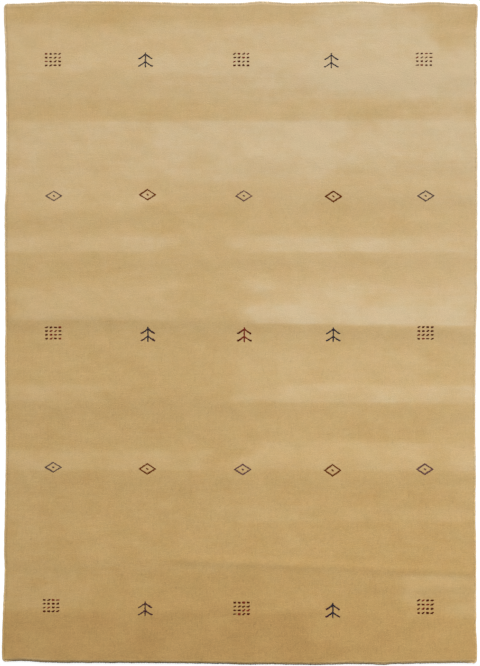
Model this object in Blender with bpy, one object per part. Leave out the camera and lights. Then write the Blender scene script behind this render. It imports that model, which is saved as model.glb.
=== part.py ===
"""A hand-knotted wool rug that lies flat on the floor.

One knotted field of short wool pile, with an overcast cord along each side and a narrow
overcast binding at each end.  Metres, +Z up, +Y towards the rug's head end.
The origin is on the floor, under the middle of the rug's box.
"""

import math
from collections import namedtuple

import bmesh
import bpy
from mathutils import Matrix

# Driving sizes
BOX_WIDTH = 1.700
BOX_LENGTH = 2.373
GROUND_WEAVE = 0.003
PILE = 0.010
CORD_WIDTH = 0.0095
CORD_HEIGHT = 0.008
CORNER_RADIUS = 0.014
SEAM_GAP = 0.0003

# How far each edge swings out beyond the straight line it is measured from
HEAD_SWING = 0.005
FOOT_SWING = 0.005
LEFT_SWING = 0.0107
RIGHT_SWING = 0.0046

# Straight lines that the four edges wander about
LEFT = -BOX_WIDTH / 2 + LEFT_SWING
RIGHT = BOX_WIDTH / 2 - RIGHT_SWING
HEAD = BOX_LENGTH / 2 - HEAD_SWING
FOOT = -BOX_LENGTH / 2 + FOOT_SWING

# Pile at the rim: height of the wall and how far in the rounded shoulder reaches
RIM_WALL = 0.0078
SHOULDER_REACH = 0.022
RIM_FOLD_SHARE = 0.45

# Spacing of the field's facets
ROW_SPACING = 0.033
COLUMN_SPACING = 0.054
CORNER_STEPS = 4
CORD_SIDES = 8
FOLD_FADE = 0.22

# Where an edge swings out (+) or draws in (-), as place along the edge and outward amount
Swing = namedtuple("Swing", "place outward")
LEFT_EDGE = [
    Swing(1.15, 0.0040),
    Swing(1.01, -0.0011),
    Swing(0.72, -0.0043),
    Swing(0.51, -0.0025),
    Swing(0.44, 0.0011),
    Swing(0.29, 0.0006),
    Swing(0.01, -0.0014),
    Swing(-0.06, 0.0),
    Swing(-0.38, -0.0030),
    Swing(-0.63, 0.0004),
    Swing(-0.78, 0.0034),
    Swing(-0.85, 0.0014),
    Swing(-0.99, 0.0068),
    Swing(-1.13, LEFT_SWING),
]
RIGHT_EDGE = [
    Swing(1.15, RIGHT_SWING),
    Swing(1.08, 0.0),
    Swing(0.72, 0.0004),
    Swing(0.65, 0.0029),
    Swing(0.15, 0.0021),
    Swing(0.01, -0.0018),
    Swing(-0.35, -0.0043),
    Swing(-0.49, -0.0021),
    Swing(-0.63, -0.0036),
    Swing(-0.78, -0.0014),
    Swing(-1.06, -0.0011),
    Swing(-1.13, 0.0025),
]
HEAD_EDGE = [
    Swing(-0.82, -0.0039),
    Swing(-0.73, -0.0011),
    Swing(-0.60, HEAD_SWING),
    Swing(-0.39, 0.0039),
    Swing(-0.13, -0.0021),
    Swing(-0.01, -0.0018),
    Swing(0.08, 0.0043),
    Swing(0.18, -0.0018),
    Swing(0.42, 0.0046),
    Swing(0.56, -0.0039),
    Swing(0.69, 0.0021),
    Swing(0.81, -0.0043),
]
FOOT_EDGE = [
    Swing(-0.82, -0.0071),
    Swing(-0.78, -0.0089),
    Swing(-0.65, -0.0025),
    Swing(-0.30, -0.0014),
    Swing(-0.05, 0.0018),
    Swing(0.04, 0.0043),
    Swing(0.08, 0.0029),
    Swing(0.27, FOOT_SWING),
    Swing(0.42, 0.0021),
    Swing(0.51, 0.0046),
    Swing(0.56, 0.0021),
    Swing(0.81, -0.0018),
]

# Soft folds across the rug: where the crest runs at the left edge, the middle and the right
# edge, its height, how far it slopes towards head and foot, and the stretch of x it covers
Fold = namedtuple("Fold", "left middle right height to_head to_foot start end")
FOLDS = [
    Fold(0.895, 0.935, 0.925, 0.0030, 0.110, 0.060, -0.95, 0.95),
    Fold(0.620, 0.615, 0.610, 0.0018, 0.060, 0.045, -0.05, 0.95),
    Fold(0.520, 0.515, 0.505, 0.0020, 0.050, 0.045, 0.15, 0.95),
    Fold(0.425, 0.430, 0.435, 0.0022, 0.070, 0.050, -0.95, -0.25),
    Fold(0.285, 0.290, 0.285, 0.0026, 0.090, 0.060, -0.95, 0.95),
    Fold(0.062, 0.050, 0.020, 0.0048, 0.150, 0.042, -0.95, 0.95),
    Fold(-0.235, -0.228, -0.252, 0.0028, 0.090, 0.055, -0.95, 0.95),
    Fold(-0.455, -0.455, -0.457, 0.0014, 0.030, 0.030, 0.05, 0.95),
    Fold(-0.490, -0.495, -0.505, 0.0022, 0.060, 0.060, -0.95, 0.95),
    Fold(-0.800, -0.818, -0.858, 0.0024, 0.110, 0.060, -0.95, 0.95),
    Fold(-0.800, -0.817, -0.858, 0.0020, 0.016, 0.014, -0.25, 0.95),
    Fold(-0.900, -0.900, -0.905, 0.0012, 0.020, 0.020, 0.45, 0.95),
]

# The rug was once folded along its middle, which left a low ridge
CENTRE_FOLD_HEIGHT = 0.0009
CENTRE_FOLD_RUN = 0.020

# Slow unevenness of the floor side and the clipped pile: height, waves along x and y, start
Waver = namedtuple("Waver", "height along_x along_y start")
WAVERS = [
    Waver(0.0004, 1.6, 2.3, 0.4),
    Waver(0.0003, 3.1, -1.7, 1.9),
    Waver(0.0002, 5.3, 4.1, 2.6),
]

# Wool colours, as the scene-linear base colour of each material
SAND_WOOL = (0.565, 0.381, 0.171, 1.0)
CORD_WOOL = (0.600, 0.420, 0.205, 1.0)
BINDING_WOOL = (0.520, 0.345, 0.165, 1.0)


def clear_scene():
    """Remove every object that the file starts with."""
    for thing in list(bpy.data.objects):
        bpy.data.objects.remove(thing, do_unlink=True)


def wool(name, colour, roughness):
    """A plain Principled material for one kind of wool."""
    material = bpy.data.materials.new(name)
    material.use_nodes = True
    shader = material.node_tree.nodes["Principled BSDF"]
    shader.inputs["Base Color"].default_value = colour
    shader.inputs["Roughness"].default_value = roughness
    shader.inputs["Metallic"].default_value = 0.0
    return material


def swing_at(edge, place):
    """Outward swing of an edge at a place: a smooth line that never passes its rows."""
    rows = sorted(edge)
    if place <= rows[0].place:
        return rows[0].outward
    if place >= rows[-1].place:
        return rows[-1].outward
    slopes = [0.0] * len(rows)
    rises = [(b.outward - a.outward) / (b.place - a.place) for a, b in zip(rows, rows[1:])]
    for index in range(1, len(rows) - 1):
        before, after = rises[index - 1], rises[index]
        if before * after > 0.0:
            slopes[index] = 2.0 * before * after / (before + after)
    index = max(i for i, row in enumerate(rows[:-1]) if row.place <= place)
    start, stop = rows[index], rows[index + 1]
    span = stop.place - start.place
    t = (place - start.place) / span
    return (
        (2 * t**3 - 3 * t**2 + 1) * start.outward
        + (t**3 - 2 * t**2 + t) * span * slopes[index]
        + (3 * t**2 - 2 * t**3) * stop.outward
        + (t**3 - t**2) * span * slopes[index + 1]
    )


def wander(x, y):
    """Carry a point of the straight-edged rug to its place in the real, wandering outline."""
    across = (x - LEFT) / (RIGHT - LEFT)
    along = (y - FOOT) / (HEAD - FOOT)
    shift_x = across * swing_at(RIGHT_EDGE, y) - (1.0 - across) * swing_at(LEFT_EDGE, y)
    shift_y = along * swing_at(HEAD_EDGE, x) - (1.0 - along) * swing_at(FOOT_EDGE, x)
    return x + shift_x, y + shift_y


def fade(x, start, end):
    """1 inside the stretch from start to end, easing to 0 outside it."""
    inside = min((x - start) / FOLD_FADE, (end - x) / FOLD_FADE) + 0.5
    t = min(1.0, max(0.0, inside))
    return t * t * (3.0 - 2.0 * t)


def crest(fold, x):
    """Where a fold's crest runs at x: a bow through its left, middle and right places."""
    t = 2.0 * x / BOX_WIDTH
    lean = (fold.right - fold.left) / 2.0
    bow = (fold.right + fold.left) / 2.0 - fold.middle
    return fold.middle + lean * t + bow * t * t


def fold_height(x, y):
    """How far the folds lift the pile at a point."""
    lift = 0.0
    for fold in FOLDS:
        off_crest = y - crest(fold, x)
        run = fold.to_head if off_crest > 0.0 else fold.to_foot
        lift += fold.height * fade(x, fold.start, fold.end) * math.exp(-((off_crest / run) ** 2))
    lift += CENTRE_FOLD_HEIGHT * math.exp(-((x / CENTRE_FOLD_RUN) ** 2))
    for waver in WAVERS:
        lift += waver.height * math.sin(waver.along_x * x + waver.along_y * y + waver.start)
    return lift


def pile_top(x, y, from_rim):
    """Height of the clipped pile at a point that lies from_rim inside the field's rim."""
    inward = min(1.0, from_rim / SHOULDER_REACH)
    shoulder = math.sqrt(1.0 - (1.0 - inward) ** 2)
    full = GROUND_WEAVE + PILE
    share = RIM_FOLD_SHARE + (1.0 - RIM_FOLD_SHARE) * shoulder
    return RIM_WALL + (full - RIM_WALL) * shoulder + share * fold_height(x, y)


def stations(low, high, spacing, near_rim):
    """Places from low to high: close together near both rims, evenly spaced between."""
    start, stop = low + near_rim[-1], high - near_rim[-1]
    count = math.ceil((stop - start) / spacing)
    middle = [start + (stop - start) * i / count for i in range(1, count)]
    return [low + d for d in near_rim] + middle + [high - d for d in reversed(near_rim)]


def field_stations():
    """The columns and rows of the field's facets, shared by the cords beside them."""
    inset = CORD_WIDTH + SEAM_GAP
    near_rim = [0.0, CORNER_RADIUS - inset, 0.011, SHOULDER_REACH]
    columns = stations(LEFT + inset, RIGHT - inset, COLUMN_SPACING, near_rim)
    rows = stations(FOOT + inset, HEAD - inset, ROW_SPACING, near_rim)
    return columns, rows


def add_piece(name, shape, material, collection):
    """Make an object of a finished bmesh, with smooth shading and its material."""
    bmesh.ops.recalc_face_normals(shape, faces=shape.faces)
    mesh = bpy.data.meshes.new(name)
    shape.to_mesh(mesh)
    shape.free()
    mesh.shade_smooth()
    mesh.set_sharp_from_angle(angle=math.radians(50))
    mesh.materials.append(material)
    piece = bpy.data.objects.new(name, mesh)
    collection.objects.link(piece)
    return piece


def knotted_field(columns, rows, material, collection):
    """The pile as a grid bent to its folds, with its rim drawn down to a flat underside."""
    shape = bmesh.new()
    last_column, last_row = len(columns) - 1, len(rows) - 1
    bmesh.ops.create_grid(shape, x_segments=last_column, y_segments=last_row, size=0.5)
    corner_cut = (columns[1] - columns[0]) * (1.0 - math.sqrt(0.5))
    for vert in shape.verts:
        i = round((vert.co.x + 0.5) * last_column)
        j = round((vert.co.y + 0.5) * last_row)
        x, y = columns[i], rows[j]
        from_rim = min(x - columns[0], columns[-1] - x, y - rows[0], rows[-1] - y)
        if i in (0, last_column) and j in (0, last_row):
            x += corner_cut if i == 0 else -corner_cut
            y += corner_cut if j == 0 else -corner_cut
        vert.co = (*wander(x, y), pile_top(x, y, from_rim))
    rim = [edge for edge in shape.edges if edge.is_boundary]
    drawn = bmesh.ops.extrude_edge_only(shape, edges=rim)["geom"]
    for vert in (part for part in drawn if isinstance(part, bmesh.types.BMVert)):
        vert.co.z = 0.0
    underside = [part for part in drawn if isinstance(part, bmesh.types.BMEdge) and part.is_boundary]
    bmesh.ops.contextual_create(shape, geom=underside)
    return add_piece("knotted_field", shape, material, collection)


def cord_section(shape):
    """A cord's cut end, standing in the XZ plane: flat on the floor and rounded above."""
    half = CORD_WIDTH / 2
    ring = bmesh.ops.create_circle(shape, cap_ends=True, segments=CORD_SIDES, radius=1.0)["verts"]
    turn = math.pi / CORD_SIDES
    for vert in ring:
        angle = math.atan2(vert.co.y, vert.co.x) + turn
        across, up = math.cos(angle) / math.cos(turn), math.sin(angle) / math.cos(turn)
        vert.co = (half * across, 0.0, CORD_HEIGHT / 2 * (1.0 + up))
    return shape.faces[:][0]


def sweep_cord(name, path, material, collection):
    """Extrude a cord's section along a path of (x, y, heading) and let it wander."""
    shape = bmesh.new()
    end = cord_section(shape)
    places = [Matrix.Translation((x, y, 0.0)) @ Matrix.Rotation(heading, 4, "Z") for x, y, heading in path]
    bmesh.ops.transform(shape, matrix=places[0], verts=end.verts)
    first = end
    for here, there in zip(places, places[1:]):
        grown = bmesh.ops.extrude_face_region(shape, geom=[end])["geom"]
        if end is not first:
            bmesh.ops.delete(shape, geom=[end], context="FACES_ONLY")
        end = next(part for part in grown if isinstance(part, bmesh.types.BMFace))
        bmesh.ops.transform(shape, matrix=there @ here.inverted(), verts=end.verts)
    for vert in shape.verts:
        vert.co.x, vert.co.y = wander(vert.co.x, vert.co.y)
    return add_piece(name, shape, material, collection)


def corner(centre_x, centre_y, start_angle, turn):
    """Path points round a corner, from an angle about its centre through a quarter turn."""
    radius = CORNER_RADIUS - CORD_WIDTH / 2
    points = []
    for step in range(CORNER_STEPS + 1):
        angle = start_angle + turn * step / CORNER_STEPS
        points.append((centre_x + radius * math.cos(angle), centre_y + radius * math.sin(angle), angle))
    return points


def side_cord(name, side, rows, material, collection):
    """The cord of one side (-1 left, 1 right), round the head corner, down, round the foot."""
    line = LEFT if side < 0 else RIGHT
    middle = line - side * CORD_WIDTH / 2
    corner_x = line - side * CORNER_RADIUS
    quarter = math.pi / 2
    outward = math.pi if side < 0 else 0.0
    path = corner(corner_x, HEAD - CORNER_RADIUS, quarter, outward - quarter)
    path += [(middle, y, outward) for y in reversed(rows[2:-2])]
    path += corner(corner_x, FOOT + CORNER_RADIUS, outward, -side * quarter)
    return sweep_cord(name, path, material, collection)


def end_binding(name, line, inward, columns, material, collection):
    """The binding of one end, between the two side cords."""
    middle = line + inward * CORD_WIDTH / 2
    inner = columns[2:-2]
    places = [columns[1] + SEAM_GAP] + inner + [columns[-2] - SEAM_GAP]
    path = [(x, middle, math.pi / 2) for x in places]
    return sweep_cord(name, path, material, collection)


def main():
    clear_scene()
    collection = bpy.data.collections.new("knotted_wool_rug")
    bpy.context.scene.collection.children.link(collection)
    sand = wool("sand_wool", SAND_WOOL, 0.95)
    cord = wool("cord_wool", CORD_WOOL, 0.90)
    binding = wool("binding_wool", BINDING_WOOL, 0.92)
    columns, rows = field_stations()
    knotted_field(columns, rows, sand, collection)
    side_cord("side_cord_left", -1, rows, cord, collection)
    side_cord("side_cord_right", 1, rows, cord, collection)
    end_binding("end_binding_head", HEAD, -1, columns, binding, collection)
    end_binding("end_binding_foot", FOOT, 1, columns, binding, collection)


main()
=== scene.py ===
# %% [markdown]
# # A hand-knotted wool rug
# The rug lies flat on a pale floor and is seen from straight above. Its plain sand ground carries
# five rows of tiny motifs: squares of dots, little trees and lozenges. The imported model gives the
# true size and outline. This script gives the wool: the clipped pile with its soft folds, the dyed
# knots, the wrapped cords along the sides and the bound ends.

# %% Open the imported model
import math

import bpy
import numpy as np
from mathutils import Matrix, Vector


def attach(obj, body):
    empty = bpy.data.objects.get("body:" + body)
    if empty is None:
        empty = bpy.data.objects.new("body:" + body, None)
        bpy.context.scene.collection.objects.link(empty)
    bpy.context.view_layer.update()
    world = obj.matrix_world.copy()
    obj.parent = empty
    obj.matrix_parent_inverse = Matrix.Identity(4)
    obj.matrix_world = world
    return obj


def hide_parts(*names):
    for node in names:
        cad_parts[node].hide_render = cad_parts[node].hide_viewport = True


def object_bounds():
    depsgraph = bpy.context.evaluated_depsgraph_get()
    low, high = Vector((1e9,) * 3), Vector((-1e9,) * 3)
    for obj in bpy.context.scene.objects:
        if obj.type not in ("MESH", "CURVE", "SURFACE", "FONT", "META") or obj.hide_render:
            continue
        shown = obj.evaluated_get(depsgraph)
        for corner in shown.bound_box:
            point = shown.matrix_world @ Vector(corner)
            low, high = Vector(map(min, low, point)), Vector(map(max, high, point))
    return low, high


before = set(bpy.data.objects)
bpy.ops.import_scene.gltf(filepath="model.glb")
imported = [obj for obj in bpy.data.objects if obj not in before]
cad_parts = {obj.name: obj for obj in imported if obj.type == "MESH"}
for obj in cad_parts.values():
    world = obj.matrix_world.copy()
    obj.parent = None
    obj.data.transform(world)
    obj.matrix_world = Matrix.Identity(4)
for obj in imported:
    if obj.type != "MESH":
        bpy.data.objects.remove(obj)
bpy.ops.object.select_all(action="DESELECT")
cad_low, cad_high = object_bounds()
BOX_WIDTH = cad_high.x - cad_low.x
BOX_LENGTH = cad_high.y - cad_low.y
print(f"the packed rug is {BOX_WIDTH:.3f} by {BOX_LENGTH:.3f} m and {cad_high.z * 1000:.1f} mm high")

# %% [markdown]
# ## Camera, floor and light
# The rug fills nearly the whole picture, so the camera's height follows from how many pixels the
# rug's width takes up. A long lens keeps the edges square. The camera has no turn at all: a camera
# in Blender looks down by itself, with +Y at the top of the picture.

# %% Hang the camera over the rug
PICTURE_HEIGHT = 666
RUG_PIXELS_ACROSS = 475.8
LENS = 85.0
SENSOR = 36.0
EDGE_LEVEL = 0.006
CAMERA_OFF_CENTRE = (0.0004, 0.0007)
metres_per_pixel = BOX_WIDTH / RUG_PIXELS_ACROSS
camera_height = PICTURE_HEIGHT * metres_per_pixel * LENS / SENSOR
camera_place = (*CAMERA_OFF_CENTRE, camera_height + EDGE_LEVEL)
bpy.ops.object.camera_add(location=camera_place, rotation=(0.0, 0.0, 0.0))
camera = bpy.context.object
camera.name = "overhead_camera"
camera.data.lens = LENS
camera.data.sensor_width = SENSOR
bpy.context.scene.camera = camera
print(f"one pixel is {metres_per_pixel * 1000:.2f} mm, the camera is {camera_height:.2f} m up")

# %% [markdown]
# A soft main light comes from beyond the head end, a little from the right. It slants over the
# pile, so each soft fold is pale on the side towards the light and dim on the other. An even white
# sky fills the rest. The floor glows, as a light table does, so that it stays pale and the rug's
# shadow on it is faint.

# %% Lay the floor and light the studio
FLOOR_SIZE = 16.0
SKY_STRENGTH = 0.43
MAIN_LIGHT_STRENGTH = 3.70
MAIN_LIGHT_SOFTNESS = math.radians(22)
MAIN_LIGHT_FROM = Vector((0.15, 1.0, 0.88))

bpy.context.scene.view_settings.view_transform = "Standard"
sky = bpy.data.worlds.new("studio_sky")
sky.use_nodes = True
sky.node_tree.nodes["Background"].inputs["Color"].default_value = (1.0, 1.0, 1.0, 1.0)
sky.node_tree.nodes["Background"].inputs["Strength"].default_value = SKY_STRENGTH
bpy.context.scene.world = sky

bpy.ops.object.light_add(type="SUN", location=MAIN_LIGHT_FROM * 4.0)
main_light = bpy.context.object
main_light.name = "main_light"
main_light.data.energy = MAIN_LIGHT_STRENGTH
main_light.data.angle = MAIN_LIGHT_SOFTNESS
main_light.rotation_euler = (-MAIN_LIGHT_FROM).to_track_quat("-Z", "Y").to_euler()

bpy.ops.mesh.primitive_plane_add(size=FLOOR_SIZE, location=(0.0, 0.0, -0.0005))
floor = bpy.context.object
floor.name = "studio_floor"


# %% [markdown]
# ## Two helpers for materials
# Every finish below is made of shader nodes. One helper adds a node and wires its inputs, the other
# adds a plain arithmetic node, so that a finish reads as a short recipe.

# %% Write the node helpers
def add_node(tree, kind, inputs=None, **settings):
    """Add a node, set its options, and wire or set its inputs."""
    made = tree.nodes.new(kind)
    for name, value in settings.items():
        setattr(made, name, value)
    for socket, value in (inputs or {}).items():
        if isinstance(value, bpy.types.NodeSocket):
            tree.links.new(value, made.inputs[socket])
        else:
            made.inputs[socket].default_value = value
    return made


def calc(tree, operation, first, second=0.0, third=0.0):
    """One step of arithmetic on values."""
    made = add_node(tree, "ShaderNodeMath", {0: first, 1: second, 2: third}, operation=operation)
    return made.outputs[0]


def noise(tree, where, scale, detail=2.0):
    """A soft noise value, about 0.5 on average."""
    made = add_node(tree, "ShaderNodeTexNoise", {"Vector": where, "Scale": scale, "Detail": detail})
    return made.outputs["Fac"]


def scaled(tree, where, scale):
    """The place on the piece, stretched before a pattern reads it."""
    return add_node(tree, "ShaderNodeMapping", {"Vector": where, "Scale": scale}).outputs["Vector"]


def new_group(name, inputs, outputs):
    """An empty node group with named sockets. Returns the group, its input node and output node."""
    group = bpy.data.node_groups.new(name, "ShaderNodeTree")
    for label, kind, value in inputs:
        socket = group.interface.new_socket(label, in_out="INPUT", socket_type=kind)
        socket.default_value = value
    for label, kind in outputs:
        group.interface.new_socket(label, in_out="OUTPUT", socket_type=kind)
    return group, group.nodes.new("NodeGroupInput"), group.nodes.new("NodeGroupOutput")


# %% Give the floor its pale paint
floor_paint = bpy.data.materials.new("pale_floor")
floor_paint.use_nodes = True
tree = floor_paint.node_tree
place = add_node(tree, "ShaderNodeTexCoord").outputs["Object"]
cloudy = calc(tree, "MULTIPLY_ADD", noise(tree, place, 1.5), 0.02, 0.10)
shader = tree.nodes["Principled BSDF"]
tree.links.new(cloudy, shader.inputs["Base Color"])
shader.inputs["Roughness"].default_value = 0.9
shader.inputs["Emission Color"].default_value = (1.0, 1.0, 1.0, 1.0)
shader.inputs["Emission Strength"].default_value = 0.90
floor.data.materials.append(floor_paint)

# %% [markdown]
# ## The colour of the wool
# Hand-dyed wool is never one colour. Here it runs along one row of colours, from golden to pale. A
# piece says with an attribute named paleness where on that row its wool lies, and soft clouds,
# blocks of knots and a faint change of hue are laid over it in the material. Paleness also holds
# the painted fold light and shade of the lots below.

# %% Mix the sand wool
GOLDEN_SAND = (0.358, 0.212, 0.071, 1.0)
WARM_SAND = (0.406, 0.255, 0.092, 1.0)
MID_SAND = (0.452, 0.306, 0.132, 1.0)
LIGHT_SAND = (0.490, 0.350, 0.177, 1.0)
PALE_SAND = (0.523, 0.402, 0.240, 1.0)
HUE_CHANGE = 0.07

sand_group, sand_in, sand_out = new_group(
    "sand_wool_colour",
    [("Paleness", "NodeSocketFloat", 0.5), ("Tone", "NodeSocketFloat", 1.0)],
    [("Colour", "NodeSocketColor")],
)
place = add_node(sand_group, "ShaderNodeTexCoord").outputs["Object"]
clouds = noise(sand_group, place, 7.0, 3.0)
streaks = noise(sand_group, scaled(sand_group, place, (9.0, 34.0, 1.0)), 1.0, 3.0)
blotches = noise(sand_group, scaled(sand_group, place, (36.0, 30.0, 1.0)), 1.0, 2.0)
fine_rows = noise(sand_group, scaled(sand_group, place, (6.0, 85.0, 1.0)), 1.0, 2.0)
block_at = scaled(sand_group, place, (12.0, 17.0, 0.0))
blocks = add_node(
    sand_group, "ShaderNodeTexVoronoi", {"Vector": block_at, "Scale": 1.0}, distance="CHEBYCHEV"
)
block_shade = add_node(sand_group, "ShaderNodeSeparateColor", {"Color": blocks.outputs["Color"]}).outputs[0]
lot = sand_in.outputs["Paleness"]
patterns = ((clouds, 0.22), (streaks, 0.16), (blotches, 0.16), (fine_rows, 0.10), (block_shade, 0.05))
for pattern, strength in patterns:
    lot = calc(sand_group, "ADD", lot, calc(sand_group, "MULTIPLY_ADD", pattern, strength, -strength / 2))
ramp = add_node(sand_group, "ShaderNodeValToRGB", {"Fac": lot})
ramp.color_ramp.elements[0].color = GOLDEN_SAND
ramp.color_ramp.elements[1].color = PALE_SAND
for stop, colour in ((0.30, WARM_SAND), (0.55, MID_SAND), (0.78, LIGHT_SAND)):
    ramp.color_ramp.elements.new(stop).color = colour
hue_clouds = noise(sand_group, scaled(sand_group, place, (16.0, 16.0, 1.0)), 1.0, 2.0)
less_red = calc(sand_group, "MULTIPLY_ADD", hue_clouds, -HUE_CHANGE, 1 + HUE_CHANGE / 2)
more_green = calc(sand_group, "MULTIPLY_ADD", hue_clouds, HUE_CHANGE / 2, 1 - HUE_CHANGE / 4)
hue = add_node(sand_group, "ShaderNodeCombineXYZ", {0: less_red, 1: more_green, 2: 1.0})
toned = add_node(
    sand_group,
    "ShaderNodeVectorMath",
    {0: ramp.outputs["Color"], "Scale": sand_in.outputs["Tone"]},
    operation="SCALE",
)
tinted = add_node(
    sand_group,
    "ShaderNodeVectorMath",
    {0: toned.outputs["Vector"], 1: hue.outputs["Vector"]},
    operation="MULTIPLY",
)
sand_group.links.new(tinted.outputs["Vector"], sand_out.inputs["Colour"])
print("mixed the sand wool")

# %% [markdown]
# ## The surface of the wool
# From close by the pile is a field of yarn tips, each a knot about 4 mm wide and 2.6 mm long. Tips
# part and lean, which shows as short dashes, and a few are darker. Where the pile parts it sinks in
# the bump and is also darkened with painted shade. One group makes this for every wool on the rug:
# it puts out a tone to multiply the colour by, and a height for the bump.

# %% Build the yarn-tip pattern
KNOT_WIDTH = 0.0040
KNOT_LENGTH = 0.0026

wool_group, wool_in, wool_out = new_group(
    "wool_surface",
    [("Contrast", "NodeSocketFloat", 1.0)],
    [("Tone", "NodeSocketFloat"), ("Height", "NodeSocketFloat")],
)
place = add_node(wool_group, "ShaderNodeTexCoord").outputs["Object"]
tips_at = scaled(wool_group, place, (1 / KNOT_WIDTH, 1 / KNOT_LENGTH, 1 / KNOT_WIDTH))
tips = add_node(wool_group, "ShaderNodeTexVoronoi", {"Vector": tips_at, "Scale": 1.0, "Randomness": 0.85})
tip_tone = add_node(wool_group, "ShaderNodeSeparateColor", {"Color": tips.outputs["Color"]}).outputs[0]
partings = noise(wool_group, scaled(wool_group, place, (210.0, 62.0, 120.0)), 1.0, 1.0)
rows_of_knots = noise(wool_group, scaled(wool_group, place, (38.0, 240.0, 120.0)), 1.0, 1.0)
fibres = noise(wool_group, place, 1500.0, 3.0)
tone = calc(wool_group, "MULTIPLY_ADD", tip_tone, 0.07, -0.035)
tone = calc(wool_group, "ADD", tone, calc(wool_group, "MULTIPLY_ADD", fibres, 0.30, -0.15))
hairs = noise(wool_group, scaled(wool_group, place, (420.0, 34.0, 120.0)), 1.0, 1.0)
tone = calc(wool_group, "ADD", tone, calc(wool_group, "MULTIPLY_ADD", hairs, 0.08, -0.04))
# Painted shade in the partings, where the bump dips
parting_painted_shade = add_node(
    wool_group,
    "ShaderNodeMapRange",
    {"Value": partings, "From Min": 0.66, "From Max": 0.77, "To Min": 0.0, "To Max": -0.07},
)
light_parting = add_node(
    wool_group,
    "ShaderNodeMapRange",
    {"Value": rows_of_knots, "From Min": 0.65, "From Max": 0.76, "To Min": 0.0, "To Max": 0.05},
)
tone = calc(wool_group, "ADD", tone, parting_painted_shade.outputs["Result"])
tone = calc(wool_group, "ADD", tone, light_parting.outputs["Result"])
tone = calc(wool_group, "MULTIPLY_ADD", tone, wool_in.outputs["Contrast"], 1.0)
height = calc(wool_group, "MULTIPLY", tips.outputs["Distance"], -1.0)
height = calc(wool_group, "MULTIPLY_ADD", partings, -0.5, height)
height = calc(wool_group, "MULTIPLY_ADD", rows_of_knots, -0.4, height)
height = calc(wool_group, "MULTIPLY_ADD", fibres, 0.7, height)
wool_group.links.new(tone, wool_out.inputs["Tone"])
wool_group.links.new(height, wool_out.inputs["Height"])
print("built the yarn-tip pattern")

# %% [markdown]
# On the cords the yarn is wound round and round, so its fibres show as fine lines along each wrap.
# The cords carry an attribute named wind, which counts the wraps along the cord. Fine noise over
# that number gives the lines.

# %% Build the wound-yarn pattern
FIBRES_A_WRAP = 11.0
FIBRE_RUN = 60.0

wound_group, wound_in, wound_out = new_group(
    "wound_yarn",
    [("Wind", "NodeSocketFloat", 0.0), ("Contrast", "NodeSocketFloat", 1.0)],
    [("Tone", "NodeSocketFloat"), ("Height", "NodeSocketFloat")],
)
axes = add_node(
    wound_group,
    "ShaderNodeSeparateXYZ",
    {"Vector": add_node(wound_group, "ShaderNodeTexCoord").outputs["Object"]},
).outputs
across_fibres = calc(wound_group, "MULTIPLY", wound_in.outputs["Wind"], FIBRES_A_WRAP)
level = calc(wound_group, "MULTIPLY", calc(wound_group, "ADD", axes["X"], axes["Y"]), FIBRE_RUN)
upward = calc(wound_group, "MULTIPLY", axes["Z"], FIBRE_RUN)
fibres_at = add_node(wound_group, "ShaderNodeCombineXYZ", {0: across_fibres, 1: level, 2: upward})
fibre_lines = noise(wound_group, fibres_at.outputs["Vector"], 1.0, 2.0)
tone = calc(wound_group, "MULTIPLY_ADD", fibre_lines, 0.40, -0.20)
tone = calc(wound_group, "MULTIPLY_ADD", tone, wound_in.outputs["Contrast"], 1.0)
wound_group.links.new(tone, wound_out.inputs["Tone"])
wound_group.links.new(fibre_lines, wound_out.inputs["Height"])
print("built the wound-yarn pattern")


# %% [markdown]
# Two recipes use the groups. Sand wool takes its colour from its paleness, dyed wool has one dye.
# Each small tuft, wrap or stitch also carries its own tone in an attribute. That tone also holds
# painted light and shade: painted light on the right half, on the rim knots and over the cords, and
# painted shade at the head edge, on the left side, in the gaps between wraps and on the foot
# binding's outer side.

# %% Write the wool recipes
def finish_wool(material, colour, height, bump_depth, sheen, shine=0.15):
    """Connect colour and bump to the shader and set the dull, slightly fuzzy finish of wool."""
    tree = material.node_tree
    shader = tree.nodes["Principled BSDF"]
    bump = add_node(tree, "ShaderNodeBump", {"Height": height, "Strength": 1.0, "Distance": bump_depth})
    tree.links.new(colour, shader.inputs["Base Color"])
    tree.links.new(bump.outputs["Normal"], shader.inputs["Normal"])
    rough = calc(tree, "MULTIPLY_ADD", height, 0.06, 0.93)
    tree.links.new(rough, shader.inputs["Roughness"])
    shader.inputs["Specular IOR Level"].default_value = shine
    shader.inputs["Sheen Weight"].default_value = sheen
    shader.inputs["Sheen Roughness"].default_value = 0.55
    shader.inputs["Sheen Tint"].default_value = (1.0, 0.93, 0.80, 1.0)
    return material


def wool_tone(tree, contrast, wound):
    """The tone and height of the wool surface, with the piece's own tone worked in."""
    surface = add_node(tree, "ShaderNodeGroup", node_tree=wound_group if wound else wool_group)
    tree.links.new(contrast, surface.inputs["Contrast"])
    if wound:
        wind = add_node(tree, "ShaderNodeAttribute", attribute_name="wind").outputs["Fac"]
        tree.links.new(wind, surface.inputs["Wind"])
    own = add_node(tree, "ShaderNodeAttribute", attribute_name="tone").outputs["Fac"]
    tone = calc(tree, "MULTIPLY", surface.outputs["Tone"], calc(tree, "ADD", own, 1.0))
    return tone, surface.outputs["Height"]


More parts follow.
